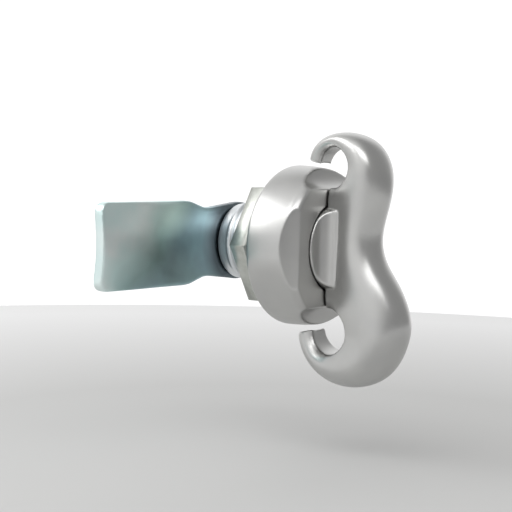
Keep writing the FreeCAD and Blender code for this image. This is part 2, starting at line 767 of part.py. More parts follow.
# Cam: a strip with a pressed crown, cut to its outline
def make_cam():
    outline_body = new_body("cam_outline")
    crown = cell("cam_crown")
    spare = crown + CUT_SPARE
    sketch = new_sketch(outline_body, "cam_outline_sketch", "XZ_Plane", cam_front - spare)
    head = cell("cam_head_radius")
    corner = cell("cam_corner_radius")
    blade = cell("cam_blade_half")
    reach = cell("cam_reach")
    neck = (-cell("cam_neck_place"), cell("cam_neck_half"))
    shoulder_x = -cell("cam_shoulder_place")
    draw_outline(sketch, [
        (ZERO, head), neck, (shoulder_x, blade), (corner - reach, blade), (-reach, blade - corner),
        (-reach, corner - blade), (corner - reach, -blade), (shoulder_x, -blade),
        (neck[0], -neck[1]), (ZERO, -head)],
        {3: (corner, True), 5: (corner, True)})
    outline_pad = pad(outline_body, sketch, cell("cam_thickness") + spare * 2)
    doc.recompute()
    places = [(place_x.value, half.value * side) for side in (1, -1)
              for place_x, half in ((neck[0], neck[1]), (shoulder_x, blade))]
    rounding = outline_body.newObject("PartDesign::Fillet", "cam_neck_rounding")
    rounding.Base = (outline_pad, upright_edges(outline_pad.Shape, places))
    bind(rounding, "Radius", cell("cam_neck_round"))
    round_end = rod("cam_round_end", head, cell("cam_thickness") + spare * 2, ALONG_Y,
                    ZERO, cam_front - spare, ZERO)

    neck_x = neck[0].value
    wide = blade + CUT_SPARE
    flat_end = block("cam_flat_end", cell("cam_neck_place") + head + CUT_SPARE,
                     cell("cam_thickness"), wide * 2, neck[0], cam_front, -wide)
    strips = []
    crown_places = (
        (neck_x, 0.0),
        (neck_x - CUT_SPARE, 0.0),
        (shoulder_x.value - CUT_SPARE, CROWN_AT_SHOULDER),
        ((shoulder_x - reach).value * HALF, CROWN_AT_MIDDLE),
        (-reach.value - CUT_SPARE, 1.0),
    )
    for number, (x, share) in enumerate(crown_places, start=1):
        strip = doc.addObject("Part::Feature", "cam_strip_%d" % number)
        strip.Shape = crowned_section(x, share * crown.value)
        strips.append(strip)
    loft = doc.addObject("Part::Loft", "cam_strip")
    loft.Sections = strips
    loft.Solid = True
    loft.Ruled = False
    whole_outline = fuse("cam_whole_outline", [outline_body, round_end])
    blade_part = doc.addObject("Part::Common", "cam_blade_part")
    blade_part.Base = loft
    blade_part.Tool = whole_outline
    head_part = doc.addObject("Part::Common", "cam_head_part")
    head_part.Base = flat_end
    head_part.Tool = whole_outline
    hole = square_tool("cam_square_hole", cam_front, cell("cam_thickness"))
    keep(cut("cam", fuse("cam_blank", [blade_part, head_part]), [hole]), "cam")


def upright_edges(shape, places):
    """Names of the straight edges that stand on the given x, z places."""
    names = []
    for number, edge in enumerate(shape.Edges, start=1):
        ends = [vertex.Point for vertex in edge.Vertexes]
        for x, z in places:
            if all(abs(end.x - x) < SAME_PLACE and abs(end.z - z) < SAME_PLACE for end in ends):
                names.append("Edge%d" % number)
    return names


def crowned_section(x, crown):
    """Section of the strip at x: its middle stands towards the front by the crown."""
    half = cell("cam_blade_half").value + CUT_SPARE
    front = cam_front.value
    rear = cam_rear.value

    def curve(level, order):
        points = []
        for share in order:
            lift = crown * math.cos(share * math.pi / 2) ** 2
            points.append(Vector(x, level - lift, share * half))
        line = Part.BSplineCurve()
        line.interpolate(points)
        return line.toShape()

    shares = [number / CROWN_STEPS for number in range(-CROWN_STEPS, CROWN_STEPS + 1)]
    near = curve(front, shares)
    far = curve(rear, shares[::-1])
    top = Part.LineSegment(Vector(x, front, half), Vector(x, rear, half)).toShape()
    bottom = Part.LineSegment(Vector(x, rear, -half), Vector(x, front, -half)).toShape()
    return Part.Wire([near, top, far, bottom])


# Bolt and washers that hold the cam
def make_cam_fixings():
    play = cell("bush_play")
    keep(ring("cam_flat_washer", cell("bolt_radius") + play, cell("bolt_washer_radius"),
              cam_rear, cell("bolt_washer_thickness")), "cam_flat_washer")
    washer = ring("spring_washer_ring", cell("bolt_radius") + play, cell("spring_washer_radius"),
                  bolt_seat, cell("spring_washer_thickness"))
    split = block("spring_washer_split", cell("spring_washer_gap"),
                  cell("spring_washer_thickness") + CUT_SPARE, cell("spring_washer_radius") + CUT_SPARE,
                  ZERO, bolt_seat - CUT_SPARE * HALF, ZERO)
    keep(cut("cam_spring_washer", washer, [split]), "cam_spring_washer")

    body = new_body("cam_bolt")
    head = new_sketch(body, "bolt_head", "XZ_Plane", bolt_head_front)
    draw_hexagon(head, cell("bolt_head_flats"))
    pad(body, head, cell("bolt_head_height"))
    shank = new_sketch(body, "bolt_shank", "XZ_Plane", bolt_head_front - cell("bolt_length"))
    draw_circle(shank, cell("bolt_radius") - play)
    bolt_pad = pad(body, shank, cell("bolt_length"))
    doc.recompute()
    rear = (bolt_head_front + cell("bolt_head_height")).value
    chamfer = body.newObject("PartDesign::Chamfer", "bolt_head_chamfer")
    chamfer.Base = (bolt_pad, rim_edges(bolt_pad.Shape, rear))
    bind(chamfer, "Size", cell("bolt_head_bevel"))
    keep(body, "cam_bolt")


make_housing()
make_clamp_stack()
make_spindle()
make_stops()
make_wing()
make_cam()
make_cam_fixings()
doc.recompute()

for thing in doc.Objects:
    if "Invalid" in thing.State or "Error" in thing.State:
        raise RuntimeError("%s failed: %s" % (thing.Name, thing.State))
for part in parts:
    if part.Shape.isNull() or not part.Shape.isValid() or len(part.Shape.Solids) < 1:
        raise RuntimeError("%s has no valid solid" % part.Label)

os.makedirs("parts", exist_ok=True)
for part in parts:
    part.Shape.exportStep("parts/%s.step" % part.Label)
    box = part.Shape.BoundBox
    print("%-18s %8.1f mm3  x %6.1f %6.1f  y %6.1f %6.1f  z %6.1f %6.1f" % (
        part.Label, part.Shape.Volume, box.XMin, box.XMax, box.YMin, box.YMax, box.ZMin, box.ZMax))
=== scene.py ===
# %% [markdown]
# # Padlockable enclosure latch
#
# The latch of a cabinet door: a cast zinc head with a threaded barrel, a wing handle with two padlock
# hooks, a large nut and a flat cam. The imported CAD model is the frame, with every piece in its place.
# Its small pieces stay as they are. The castings and the cam become copies with soft edges, the thread
# and the nut are modelled here, and every surface gets its own metal, rubber or nylon.

# %% Frame
import json
import math

import bmesh
import bpy
from mathutils import Matrix, Vector


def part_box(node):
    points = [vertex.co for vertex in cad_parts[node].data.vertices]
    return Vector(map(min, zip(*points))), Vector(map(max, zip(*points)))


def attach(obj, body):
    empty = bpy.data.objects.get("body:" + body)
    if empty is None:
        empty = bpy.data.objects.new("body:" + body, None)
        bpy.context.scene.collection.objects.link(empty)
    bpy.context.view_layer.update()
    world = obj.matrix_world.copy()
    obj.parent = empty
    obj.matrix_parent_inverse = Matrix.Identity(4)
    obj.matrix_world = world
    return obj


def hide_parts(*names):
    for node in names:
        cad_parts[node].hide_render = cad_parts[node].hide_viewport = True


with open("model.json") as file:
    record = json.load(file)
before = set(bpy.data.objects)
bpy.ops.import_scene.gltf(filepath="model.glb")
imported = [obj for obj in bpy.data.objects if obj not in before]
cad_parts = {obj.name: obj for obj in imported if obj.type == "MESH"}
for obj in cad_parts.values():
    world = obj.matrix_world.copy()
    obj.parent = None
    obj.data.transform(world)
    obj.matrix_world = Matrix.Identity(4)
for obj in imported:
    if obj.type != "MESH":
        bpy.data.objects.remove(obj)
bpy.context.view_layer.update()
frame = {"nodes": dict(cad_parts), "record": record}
nodes = frame["nodes"]
MM = 0.001
print("frame:", len(nodes), "pieces")

# %% [markdown]
# ## Camera
#
# The camera was fitted to the outlines of the nut, barrel, head, cam and wing in the photograph. The
# fit gives where the camera stands round and above the latch, how far it is rolled, and how far it
# looks past the origin. The photograph's width in pixels turns the fitted focal length into the lens
# for Blender's sensor. Building the camera from these angles keeps each one readable, which a single
# matrix of numbers wouldn't.

# %% Camera
VIEW_AZIMUTH = -52.05
VIEW_ELEVATION = 4.235
VIEW_ROLL = 1.516
VIEW_FOCAL_PX = 1457.0
VIEW_DISTANCE_MM = 349.25
VIEW_SHIFT_RIGHT_MM = -9.05
VIEW_SHIFT_UP_MM = -2.77
IMAGE_PX = 512
SENSOR_MM = 36.0
CLIP_NEAR_M = 0.01
CLIP_FAR_M = 20


def put_in_scene(name, data):
    """Makes an object of a mesh, a lamp or a camera, and puts it in the scene."""
    item = bpy.data.objects.new(name, data)
    bpy.context.scene.collection.objects.link(item)
    return item


def make_camera():
    turn = math.radians(VIEW_AZIMUTH)
    rise = math.radians(VIEW_ELEVATION)
    roll = math.radians(VIEW_ROLL)
    back = Vector((math.sin(turn) * math.cos(rise), -math.cos(turn) * math.cos(rise), math.sin(rise)))
    level = Vector((math.cos(turn), math.sin(turn), 0))
    over = back.cross(level)
    right = level * math.cos(roll) + over * math.sin(roll)
    up = over * math.cos(roll) - level * math.sin(roll)
    place = (back * VIEW_DISTANCE_MM + right * VIEW_SHIFT_RIGHT_MM + up * VIEW_SHIFT_UP_MM) * MM
    data = bpy.data.cameras.new("camera")
    data.sensor_width = SENSOR_MM
    data.lens = VIEW_FOCAL_PX * SENSOR_MM / IMAGE_PX
    data.clip_start = CLIP_NEAR_M
    data.clip_end = CLIP_FAR_M
    camera = put_in_scene("camera", data)
    camera.matrix_world = Matrix.Translation(place) @ Matrix((right, up, back)).transposed().to_4x4()
    bpy.context.scene.camera = camera
    print("camera: lens", round(data.lens, 1), "mm, place", [round(value, 3) for value in place])


make_camera()

# %% [markdown]
# ## Colours and scales
#
# Colours are written as a paint program shows them, in sRGB, and Blender's nodes take linear values,
# so `colour` turns one into the other. Every pattern reads Object coordinates, which are metres in the
# frame of the CAD model, so a noise scale is the number of features in a metre. `feature` turns the
# size of one feature in millimetres into that scale, which keeps real sizes in the script.

# %% Colours and scales


def colour(text):
    """An sRGB colour such as "#B0B0AE" as Blender's linear RGBA."""
    channels = []
    for start in (1, 3, 5):
        level = int(text[start:start + 2], 16) / 255
        channels.append(level / 12.92 if level <= 0.04045 else ((level + 0.055) / 1.055) ** 2.4)
    return (*channels, 1.0)


def feature(size_mm):
    """The scale of a pattern whose features are size_mm across."""
    return 1 / size_mm / MM


# %% [markdown]
# ## Shader nodes
#
# A material is a small net of nodes. Adding each node, setting its values and linking its inputs
# takes many lines, so one function does all three. It takes plain values, and it takes other nodes,
# whose first output in use it links.

# %% Shader nodes


def add(tree, kind, *values, **settings):
    """Adds a shader node. Values go to its inputs in order. Settings are its properties, or its
    inputs by name, with _ for a space."""
    node = tree.nodes.new(kind)
    named = {}
    for name, value in settings.items():
        if name.replace("_", " ") in node.inputs:
            named[name.replace("_", " ")] = value
        else:
            setattr(node, name, value)
    sockets = [socket for socket in node.inputs if socket.enabled]
    pairs = list(zip(sockets, values))
    pairs += [(socket, named[socket.name]) for socket in sockets if socket.name in named]
    for socket, value in pairs:
        if isinstance(value, bpy.types.Node):
            value = [output for output in value.outputs if output.enabled][0]
        if isinstance(value, bpy.types.NodeSocket):
            tree.links.new(value, socket)
        else:
            socket.default_value = value
    return node


# %% [markdown]
# ## Start and end of a material
#
# Every material here starts with an empty net and ends in one Principled shader, which covers metal,
# rubber, nylon and matt board alike. Two short functions make that start and that end, so that a
# material's own code holds only its patterns.

# %% Start and end of a material


def start_material(name):
    """A material with an empty net, and the Object coordinates that its patterns read."""
    material = bpy.data.materials.new(name)
    material.use_nodes = True
    tree = material.node_tree
    tree.nodes.clear()
    return material, tree, add(tree, "ShaderNodeTexCoord").outputs["Object"]


def close_material(tree, **inputs):
    """Adds the shader with its inputs, and the output."""
    add(tree, "ShaderNodeOutputMaterial", Surface=add(tree, "ShaderNodeBsdfPrincipled", **inputs))


# %% [markdown]
# ## Cast, plated and turned metal
#
# No metal surface is quite even. Its colour drifts over a few millimetres, and its gloss changes over
# a fraction of one. An image could show that, but it would need the pieces unwrapped. Two noises in
# space need no unwrapping and run on from piece to piece: a slow one for the colour, and a fine one
# for the gloss and, where the surface has a feel, for a relief. Noise keeps to the middle of its
# range, so that middle is what gets mapped.

# %% Metal
NOISE_LOW = 0.3
NOISE_HIGH = 0.7


def plated(name, light, dark, roughness, cloud_mm, grain_mm, relief_mm, stretch=(1, 1, 1),
           uneven=0.045):
    """Metal with a cloudy colour, a grain in its gloss and a fine relief."""
    material, tree, place = start_material(name)
    cloud = add(tree, "ShaderNodeTexNoise", Vector=place, Scale=feature(cloud_mm), Detail=2.0)
    amount = add(tree, "ShaderNodeMapRange", Value=cloud, From_Min=NOISE_LOW, From_Max=NOISE_HIGH)
    tint = add(tree, "ShaderNodeMix", data_type="RGBA", Factor=amount, A=colour(light), B=colour(dark))
    stretched = add(tree, "ShaderNodeMapping", Vector=place, Scale=stretch)
    grain = add(tree, "ShaderNodeTexNoise", Vector=stretched, Scale=feature(grain_mm), Detail=4.0)
    gloss = add(tree, "ShaderNodeMapRange", Value=grain, From_Min=NOISE_LOW, From_Max=NOISE_HIGH,
                To_Min=roughness - uneven, To_Max=roughness + uneven)
    inputs = {"Base_Color": tint, "Roughness": gloss, "Metallic": 1.0}
    if relief_mm:
        inputs["Normal"] = add(tree, "ShaderNodeBump", Height=grain, Distance=relief_mm * MM,
                               Strength=1.0)
    close_material(tree, **inputs)
    return material


# %% [markdown]
# ## Cast zinc, machined zinc and zinc plate
#
# The head and the wing are die-cast zinc with a satin skin, so the eye sees a broad soft sheen and
# hardly any grain. The barrel is cut by a die after casting, which lays bare paler and less even
# metal. The nut, bolt and washers are steel with bright zinc plate, which has a faint green cast. The
# grain of the cut metal and of the plate is finer than a pixel, so both are drawn coarser than they
# are, and the plate's is drawn out along the axis, as on bar stock.

# %% Zinc
satin_zinc = plated("satin_zinc_casting", "#C8C8C6", "#C1C1C0", roughness=0.31, cloud_mm=9.0,
                    grain_mm=1.2, relief_mm=0.0, uneven=0.012)
cut_zinc = plated("machined_zinc", "#ECEFF1", "#E0E4E7", roughness=0.37, cloud_mm=3.0,
                  grain_mm=0.4, relief_mm=0.0, uneven=0.03)
bright_zinc = plated("bright_zinc_plate", "#D0D2CD", "#BFC2BB", roughness=0.36, cloud_mm=1.6,
                     grain_mm=0.25, relief_mm=0.003, stretch=(1.0, 0.25, 1.0))
print("zinc:", satin_zinc.name, cut_zinc.name, bright_zinc.name)

# %% [markdown]
# ## The cam's blue plate: places
#
# Zinc plate that is passivated blue is never one colour. On this strip it runs from pale at the far end
# to dark near the barrel, with a turquoise drift between, partly the plate's own tint and partly a
# painted reflection of the room on the bent strip. The drift follows a line that leans across the
# strip, one patch of the blade gets a painted highlight, and a painted shade darkens the plate round
# the square hole, next to the barrel. Each of the three is a distance worked out from Object
# coordinates, so it stays on the cam when the latch turns.

# %% Places on the cam
# where the ramp of plate tint and painted reflection is palest and darkest along the strip
CAM_PALE_MM = -45.0
CAM_DARK_MM = -23.0
CAM_SLANT = -0.9
# a painted highlight on the blade: its middle and size in millimetres, its full core and strength
PATCH_PLACE_MM = (-26.5, 7.0)
PATCH_SIZE_MM = (8.5, 6.5)
PATCH_CORE = 0.15
PATCH_STRENGTH = 0.8
# painted shade next to the barrel: the distances from the axis where it is full and where it ends
BARREL_SHADE_FROM_MM = 10.5
BARREL_SHADE_TO_MM = 14.5


def along_strip(tree, place):
    """0 at the cam's pale end and 1 at its dark end, along a line that leans across the strip."""
    spot = add(tree, "ShaderNodeSeparateXYZ", place).outputs
    lean = add(tree, "ShaderNodeMath", spot["Z"], CAM_SLANT, spot["X"], operation="MULTIPLY_ADD")
    return add(tree, "ShaderNodeMapRange", Value=lean, From_Min=CAM_PALE_MM * MM,
               From_Max=CAM_DARK_MM * MM)


def painted_highlight_patch(tree, place):
    """PATCH_STRENGTH in the core of an oval painted highlight on the blade, and 0 from its rim
    outwards.
    """
    middle = (PATCH_PLACE_MM[0] * MM, 0, PATCH_PLACE_MM[1] * MM)
    shrink = (feature(PATCH_SIZE_MM[0]), 0, feature(PATCH_SIZE_MM[1]))
    offset = add(tree, "ShaderNodeVectorMath", place, middle, operation="SUBTRACT")
    shrunk = add(tree, "ShaderNodeVectorMath", offset, shrink, operation="MULTIPLY")
    out = add(tree, "ShaderNodeVectorMath", shrunk, operation="LENGTH")
    return add(tree, "ShaderNodeMapRange", Value=out, From_Min=PATCH_CORE, From_Max=1.0,
               To_Min=PATCH_STRENGTH, To_Max=0.0)


def painted_barrel_shade(tree, place):
    """1 near the latch axis, and 0 from the edge of the painted shade round the barrel outwards."""
    flat = add(tree, "ShaderNodeVectorMath", place, (1, 0, 1), operation="MULTIPLY")
    out = add(tree, "ShaderNodeVectorMath", flat, operation="LENGTH")
    return add(tree, "ShaderNodeMapRange", Value=out, From_Min=BARREL_SHADE_FROM_MM * MM,
               From_Max=BARREL_SHADE_TO_MM * MM, To_Min=1.0, To_Max=0.0)


# %% [markdown]
# ## The cam's blue plate: colours
#
# A colour ramp turns the place along the strip into a tint, partly the plate's own and partly a painted
# reflection. A slow swirl bends that line, so the colours run as a liquid left them, and a haze mottles
# them. The painted highlight and the painted shade round the hole lie on top, in that order. The gloss
# has a fine grain of its own.

# %% Blue plate
# the ramp's stops, pale at the far end and dark near the barrel: plate tint with painted reflection
PLATE_TINTS_AND_REFLECTION = ((0.0, "#F4FBFA"), (0.35, "#E0F2F1"), (0.68, "#9FB7B7"), (1.0, "#9CB1BC"))
# colour of the painted highlight on the blade
PAINTED_HIGHLIGHT_TINT = "#DDF7F3"
# colour of the painted shade round the square hole, next to the barrel
BARREL_SHADE_TINT = "#727D83"
RAMP_MIDDLE = 0.5
CAM_DRIFT = 0.3
SWIRL_MM = 14
HAZE_MM = 7
HAZE_TINT = "#C4ECEA"
HAZE_LEAST = 0.05
HAZE_MOST = 0.4
# the plate's crystals are far finer than a pixel, so this grain is drawn as coarse as it needs to show
PLATE_GRAIN_MM = 0.5
PLATE_GLOSS = (0.29, 0.37)


def plate_tint_and_reflection(tree, place):
    """The strip's drift of tints, partly the plate's own and partly painted reflection. Each stop of
    the ramp is made in its middle and then placed.
    """
    swirl = add(tree, "ShaderNodeTexNoise", Vector=place, Scale=feature(SWIRL_MM), Detail=1.5)
    bend = add(tree, "ShaderNodeMapRange", Value=swirl, From_Min=NOISE_LOW, From_Max=NOISE_HIGH,
               To_Min=-0.5, To_Max=0.5)
    drift = add(tree, "ShaderNodeMath", bend, CAM_DRIFT, along_strip(tree, place),
                operation="MULTIPLY_ADD")
    tint = add(tree, "ShaderNodeValToRGB", Fac=drift)
    ramp = tint.color_ramp
    while len(ramp.elements) < len(PLATE_TINTS_AND_REFLECTION):
        ramp.elements.new(RAMP_MIDDLE)
    for element, (position, text) in zip(ramp.elements, PLATE_TINTS_AND_REFLECTION):
        element.position = position
        element.color = colour(text)
    return tint


def cam_plate():
    material, tree, place = start_material("blue_zinc_plate")
    haze = add(tree, "ShaderNodeTexNoise", Vector=place, Scale=feature(HAZE_MM), Detail=2.0)
    amount = add(tree, "ShaderNodeMapRange", Value=haze, From_Min=NOISE_LOW, From_Max=NOISE_HIGH,
                 To_Min=HAZE_LEAST, To_Max=HAZE_MOST)
    tint = plate_tint_and_reflection(tree, place)
    # over the ramp: the haze, then the painted highlight, then the painted shade round the square hole
    for cover, text in ((amount, HAZE_TINT), (painted_highlight_patch(tree, place), PAINTED_HIGHLIGHT_TINT),
                        (painted_barrel_shade(tree, place), BARREL_SHADE_TINT)):
        tint = add(tree, "ShaderNodeMix", data_type="RGBA", Factor=cover, A=tint, B=colour(text))
    grain = add(tree, "ShaderNodeTexNoise", Vector=place, Scale=feature(PLATE_GRAIN_MM), Detail=4.0)
    gloss = add(tree, "ShaderNodeMapRange", Value=grain, From_Min=NOISE_LOW, From_Max=NOISE_HIGH,
                To_Min=PLATE_GLOSS[0], To_Max=PLATE_GLOSS[1])
    close_material(tree, Base_Color=tint, Roughness=gloss, Metallic=1.0)
    return material


blue_zinc = cam_plate()
print("blue plate:", len(blue_zinc.node_tree.nodes), "nodes")

# %% [markdown]
# ## Steel and bronze
#
# These pieces lie inside the latch. The spindle, pin, stop disc and seat washer are turned steel,
# bright with fine tool marks: a grain that is squeezed along the axis and drawn out across it. The
# spring and the clip are oiled spring steel, which looks dark. The bushes are sintered bronze: pressed
# powder, dull and slightly rough. Real tool marks and powder grains are finer than a pixel, so they
# are drawn coarser.

# %% Steel and bronze
turned_steel = plated("turned_steel", "#C9C8C5", "#B7B6B3", roughness=0.22, cloud_mm=4.0,
                      grain_mm=0.3, relief_mm=0.006, stretch=(0.2, 4.0, 0.2))
spring_steel = plated("oiled_spring_steel", "#6B6A69", "#555453", roughness=0.3, cloud_mm=2.0,
                      grain_mm=0.2, relief_mm=0.003)
bronze = plated("sintered_bronze", "#C39A62", "#A37C48", roughness=0.42, cloud_mm=1.5,
                grain_mm=0.15, relief_mm=0.01)
print("inner metals:", turned_steel.name, spring_steel.name, bronze.name)

# %% [markdown]
# ## Rubber and nylon
#
# The gasket and the two seals are moulded nitrile rubber, and the thrust washer is natural nylon.
# Neither is a metal, so colour and sheen are separate: the base colour shows fully and the sheen lies
# over it. The mould leaves a fine even texture, which is the grain, and the colour hardly changes.

# %% Rubber and nylon
MOULD_CLOUD_MM = 5
MOULD_UNEVEN = 0.06


def moulded(name, light, dark, roughness, grain_mm, relief_mm):
    """Rubber or plastic straight from the mould."""
    material, tree, place = start_material(name)
    cloud = add(tree, "ShaderNodeTexNoise", Vector=place, Scale=feature(MOULD_CLOUD_MM), Detail=3.0)
    amount = add(tree, "ShaderNodeMapRange", Value=cloud, From_Min=NOISE_LOW, From_Max=NOISE_HIGH)
    tint = add(tree, "ShaderNodeMix", data_type="RGBA", Factor=amount, A=colour(light), B=colour(dark))
    grain = add(tree, "ShaderNodeTexNoise", Vector=place, Scale=feature(grain_mm), Detail=3.0)
    gloss = add(tree, "ShaderNodeMapRange", Value=grain, From_Min=NOISE_LOW, From_Max=NOISE_HIGH,
                To_Min=roughness - MOULD_UNEVEN, To_Max=roughness + MOULD_UNEVEN)
    relief = add(tree, "ShaderNodeBump", Height=grain, Distance=relief_mm * MM, Strength=1.0)
    close_material(tree, Base_Color=tint, Roughness=gloss, Normal=relief)
    return material


rubber = moulded("nitrile_rubber", "#1C1C1B", "#262524", roughness=0.62, grain_mm=0.2, relief_mm=0.01)
nylon = moulded("natural_nylon", "#E3DFD2", "#D8D3C4", roughness=0.42, grain_mm=0.3, relief_mm=0.004)
print("moulded:", rubber.name, nylon.name)

# %% [markdown]
# ## Copies with soft edges
#
# A casting has no sharp edge, and the small radii of a tumbled one differ from place to place. A
# bevel of every edge would fail where many edges meet. `soft_copy` does what tumbling does: it merges
# a copy of the CAD solid, remeshes it in small voxels, and smooths it. Each round of smoothing rounds
# the edges a little more, so a casting takes few rounds and a pressed strip takes more.

# %% Copies with soft edges
MERGE_MM = 0.0005
SMOOTH_FACTOR = 0.5
HOOK_START_MM = 13.5


def merged_copy(node, name):
    """A copy of a CAD node with its loose triangles joined and its colours left off."""
    data = nodes[node].data.copy()
    data.name = name
    mesh = bmesh.new()
    mesh.from_mesh(data)
    bmesh.ops.remove_doubles(mesh, verts=mesh.verts, dist=MERGE_MM * MM)
    mesh.to_mesh(data)
    mesh.free()
    for layer in list(data.color_attributes):
        data.color_attributes.remove(layer)
    return put_in_scene(name, data)


def apply_modifiers(piece):
    graph = bpy.context.evaluated_depsgraph_get()
    data = bpy.data.meshes.new_from_object(piece.evaluated_get(graph))
    piece.modifiers.clear()
    piece.data = data


def smooth(mesh, vertices, rounds):
    for _ in range(rounds):
        bmesh.ops.smooth_vert(mesh, verts=vertices, factor=SMOOTH_FACTOR, use_axis_x=True,
                              use_axis_y=True, use_axis_z=True)


def soft_copy(node, name, voxel_mm, rounds, reshape=None, hook_rounds=0):
    """A remeshed copy with soft edges. hook_rounds smooths what lies beyond the hooks' start more."""
    piece = merged_copy(node, name)
    if reshape:
        reshape(piece.data)
    remesh = piece.modifiers.new("remesh", "REMESH")
    remesh.mode = "VOXEL"
    remesh.voxel_size = voxel_mm * MM
    apply_modifiers(piece)
    mesh = bmesh.new()
    mesh.from_mesh(piece.data)
    smooth(mesh, mesh.verts, rounds)
    hooks = [vertex for vertex in mesh.verts if abs(vertex.co.z) > HOOK_START_MM * MM]
    smooth(mesh, hooks, hook_rounds)
    mesh.to_mesh(piece.data)
    mesh.free()
    return piece


# %% [markdown]
# ## Finishing a piece
#
# Every new piece ends the same way. It gets its material and smooth shading, it rides on its CAD body,
# and the CAD nodes that it stands for are hidden.

# %% Finishing a piece


def finish_piece(piece, body, slot, material, *replaced):
    """Gives a new piece its material and body, and hides the CAD nodes that it stands for. slot is not
    used.
    """
    piece.data.materials.clear()
    piece.data.materials.append(material)
    for polygon in piece.data.polygons:
        polygon.use_smooth = True
    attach(piece, body)
    if replaced:
        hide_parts(*replaced)
    print(piece.name + ":", len(piece.data.polygons), "faces on", body)
    return piece


# %% [markdown]
# ## Head and barrel
#
# The head and the barrel are one casting. The copy's barrel is first drawn in to the bottom of the
# thread, because the thread is added later as a ridge on top of it. Behind the head's rear face the
# casting is machined, so those faces take the second material. Choosing faces by where they lie is
# enough here, because the head and the barrel meet in one plane.

# %% Head and barrel
BARREL_RADIUS_MM = 10.0
THREAD_DEPTH_MM = 0.92
THREADED_FROM_MM = -0.01
THREADED_TO_MM = 12.9
ON_BARREL_MM = 0.05
MACHINED_FROM_MM = 1.0


def thin_barrel(data):
    """Takes the barrel of the head's copy down to the bottom of the thread."""
    for vertex in data.vertices:
        x, y, z = vertex.co
        out = math.hypot(x, z)
        threaded = THREADED_FROM_MM * MM < y < THREADED_TO_MM * MM
        if threaded and abs(out - BARREL_RADIUS_MM * MM) < ON_BARREL_MM * MM:
            scale = (BARREL_RADIUS_MM - THREAD_DEPTH_MM) * MM / out
            vertex.co = (x * scale, y, z * scale)


housing = soft_copy("housing", "housing_skin", voxel_mm=0.27, rounds=4, reshape=thin_barrel)
finish_piece(housing, "housing", "zinc_casting", satin_zinc, "housing")
housing.data.materials.append(cut_zinc)
for polygon in housing.data.polygons:
    if polygon.center.y > MACHINED_FROM_MM * MM:
        polygon.material_index = 1

# %% [markdown]
# ## Wing handle
#
# The wing is a casting too. Its hooks are rounder than its middle, and the rims that a padlock's
# shackle rubs on are rounded most. After the smoothing, `round_rims` draws the arms in towards the
# wing's middle plane, more the nearer a point is to the eye. The eyes' places come from the mounts in
# the record, so the rims stay with the eyes. The pull fades out across the eye towards the front,
# where the wing keeps its full width.

# %% Wing handle
RIM_WIDTH_MM = 2.8
RIM_DROP = 0.24
RIM_FADE_MM = 7.0
RIM_FADE_MIDDLE = 0.5


def round_rims(data):
    """Draws the hooks' arms in next to their eyes, so that the rims there are round."""
    for mount in frame["record"]["mounts"]:
        if mount["kind"] != "bore":
            continue
        _, eye_y, eye_z = mount["pos_m"]
        radius = mount["dims"]["r_mm"] * MM
        for vertex in data.vertices:
            x, y, z = vertex.co
            past = (math.hypot(y - eye_y, z - eye_z) - radius) / (RIM_WIDTH_MM * MM)
            on_arm = (y - eye_y) / (RIM_FADE_MM * MM) + RIM_FADE_MIDDLE
            on_arm = min(max(on_arm, 0.0), 1.0)
            if past < 1 and z * eye_z > 0:
                near_eye = (1 - max(past, 0.0)) ** 2
                drop = RIM_DROP * near_eye * on_arm * on_arm * (3 - 2 * on_arm)
                vertex.co = (x * (1 - drop), y, z)


wing = soft_copy("wing_handle", "wing_handle_skin", voxel_mm=0.25, rounds=4, hook_rounds=5)
round_rims(wing.data)
finish_piece(wing, "rotor", "zinc_casting", satin_zinc, "wing_handle")

# %% [markdown]
# ## Cam
#
# The cam is a steel strip that is stamped out, pressed and then plated. Its edges are well rounded in
# the photograph, so its copy gets three times the castings' rounds of smoothing.

# %% Cam
cam = soft_copy("cam", "cam_skin", voxel_mm=0.25, rounds=12)
finish_piece(cam, "rotor", "cam_zinc", blue_zinc, "cam")

# %% [markdown]
# ## The barrel's thread
#
# A thread is a ridge that winds round the barrel. Its section, six points, is spun round the axis
# while each step also moves it along, so the ridge follows the path that a die cuts. The section
# reaches a little into the barrel, which closes the ridge without joining the meshes.

# %% Thread
THREAD_PITCH_MM = 1.5
THREAD_START_MM = 0.2
THREAD_END_MM = 13.3
THREAD_CREST = 0.12
THREAD_FOOT = 0.95
THREAD_SUNK_MM = 0.35
THREAD_STEPS = 90


def new_piece(name, mesh):
    """Makes a bmesh into an object of the scene, with its faces turned outwards."""
    bmesh.ops.remove_doubles(mesh, verts=mesh.verts, dist=MERGE_MM * MM)
    bmesh.ops.recalc_face_normals(mesh, faces=mesh.faces)
    data = bpy.data.meshes.new(name)
    mesh.to_mesh(data)
    mesh.free()
    return put_in_scene(name, data)


def thread_section():
    """The ridge's corners, each as its distance from the axis and its place along the axis."""
    half = THREAD_PITCH_MM / 2
    root = BARREL_RADIUS_MM - THREAD_DEPTH_MM
    foot = half * THREAD_FOOT
    crest = half * THREAD_CREST
    return ((root - THREAD_SUNK_MM, -foot), (root, -foot), (BARREL_RADIUS_MM, -crest),
            (BARREL_RADIUS_MM, crest), (root, foot), (root - THREAD_SUNK_MM, foot))


def make_thread():
    turns = round((THREAD_END_MM - THREAD_START_MM) / THREAD_PITCH_MM) - 1
    start = THREAD_START_MM + THREAD_PITCH_MM / 2
    mesh = bmesh.new()
    corners = []
    for out, along in thread_section():
        corners.append(mesh.verts.new((out * MM, (start + along) * MM, 0)))
    face = mesh.faces.new(corners)
    bmesh.ops.spin(mesh, geom=[face, *face.edges, *face.verts], cent=(0, 0, 0), axis=(0, 1, 0),
                   dvec=(0, THREAD_PITCH_MM * MM / THREAD_STEPS, 0), angle=2 * math.pi * turns,
                   steps=THREAD_STEPS * turns)
    print("thread:", turns, "turns")
    return finish_piece(new_piece("barrel_thread", mesh), "housing", "zinc_casting", cut_zinc)


